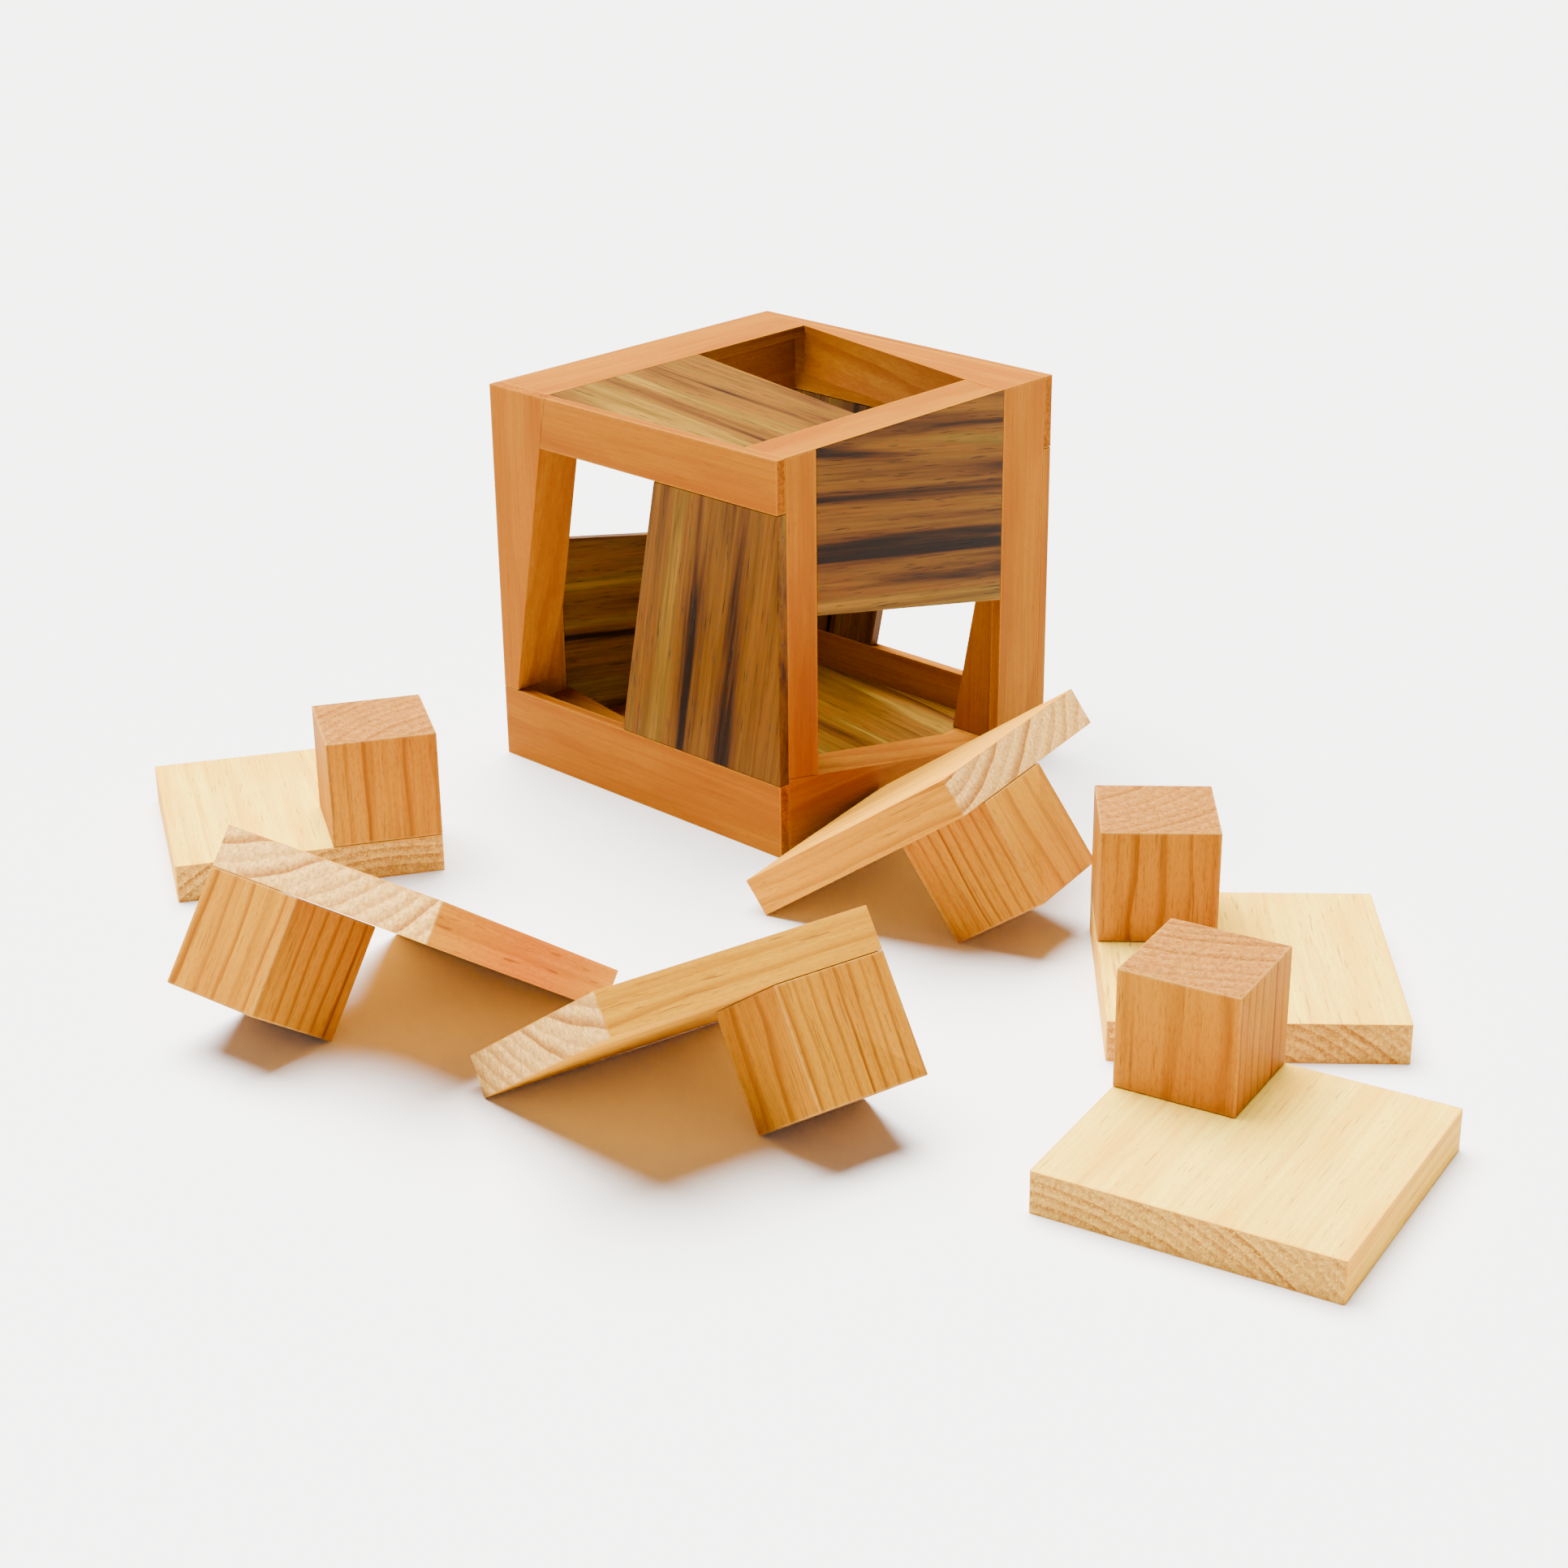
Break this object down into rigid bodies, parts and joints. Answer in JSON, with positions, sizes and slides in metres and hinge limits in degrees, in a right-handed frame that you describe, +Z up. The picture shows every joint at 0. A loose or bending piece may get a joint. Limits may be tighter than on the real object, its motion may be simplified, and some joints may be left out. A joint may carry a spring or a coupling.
{
  "type": "wooden puzzle box",
  "caption": "Wooden packing puzzle: an open cube frame with slanted windows in all its faces, and loose pieces, each a square plate with a small cube glued in its corner.",
  "frame": {"origin": "on the table, in the middle of the whole spread's bounding box", "axes": "+X along the longest extent of the spread, +Y away from the front of the cube frame, +Z up"},
  "size_m": [0.3148, 0.2302, 0.09],
  "materials": {
    "frame_wood": "oiled satin, fine grain, sanded",
    "dark_striped_wood": "oiled satin, dark and reddish streaks along the grain",
    "pale_plate_wood": "raw sanded, straight fine grain, open end grain",
    "cube_wood": "raw sanded, streaked grain, sawn end grain"
  },
  "bodies": {
    "frame": {"front_wide_rail": "frame_wood", "front_narrow_rail": "frame_wood", "front_tapered_stile": "frame_wood", "front_dark_panel": "dark_striped_wood", "back_wide_rail": "frame_wood", "back_narrow_rail": "frame_wood", "back_tapered_stile": "frame_wood", "back_dark_panel": "dark_striped_wood", "right_wide_rail": "frame_wood", "right_narrow_rail": "frame_wood", "right_tapered_stile": "frame_wood", "right_dark_panel": "dark_striped_wood", "left_wide_rail": "frame_wood", "left_narrow_rail": "frame_wood", "left_tapered_stile": "frame_wood", "left_dark_panel": "dark_striped_wood", "top_wide_rail": "frame_wood", "top_narrow_rail": "frame_wood", "top_tapered_stile": "frame_wood", "top_dark_panel": "dark_striped_wood", "bottom_wide_rail": "frame_wood", "bottom_narrow_rail": "frame_wood", "bottom_tapered_stile": "frame_wood", "bottom_dark_panel": "dark_striped_wood"},
    "piece_a": {"piece_a_plate": "pale_plate_wood", "piece_a_cube": "cube_wood"},
    "piece_b": {"piece_b_plate": "pale_plate_wood", "piece_b_cube": "cube_wood"},
    "piece_c": {"piece_c_plate": "pale_plate_wood", "piece_c_cube": "cube_wood"},
    "piece_d": {"piece_d_plate": "pale_plate_wood", "piece_d_cube": "cube_wood"},
    "piece_e": {"piece_e_plate": "pale_plate_wood", "piece_e_cube": "cube_wood"},
    "piece_f": {"piece_f_plate": "pale_plate_wood", "piece_f_cube": "cube_wood"}
  },
  "joints": [
    {"name": "piece_a_lift", "type": "slide", "parent": "frame", "child": "piece_a", "axis": [0, 0, 1], "range_m": [0, 0.12]},
    {"name": "piece_b_lift", "type": "slide", "parent": "frame", "child": "piece_b", "axis": [0, 0, 1], "range_m": [0, 0.12]},
    {"name": "piece_c_lift", "type": "slide", "parent": "frame", "child": "piece_c", "axis": [0, 0, 1], "range_m": [0, 0.12]},
    {"name": "piece_d_lift", "type": "slide", "parent": "frame", "child": "piece_d", "axis": [0, 0, 1], "range_m": [0, 0.12]},
    {"name": "piece_e_lift", "type": "slide", "parent": "frame", "child": "piece_e", "axis": [0, 0, 1], "range_m": [0, 0.12]},
    {"name": "piece_f_lift", "type": "slide", "parent": "frame", "child": "piece_f", "axis": [0, 0, 1], "range_m": [0, 0.12]}
  ]
}
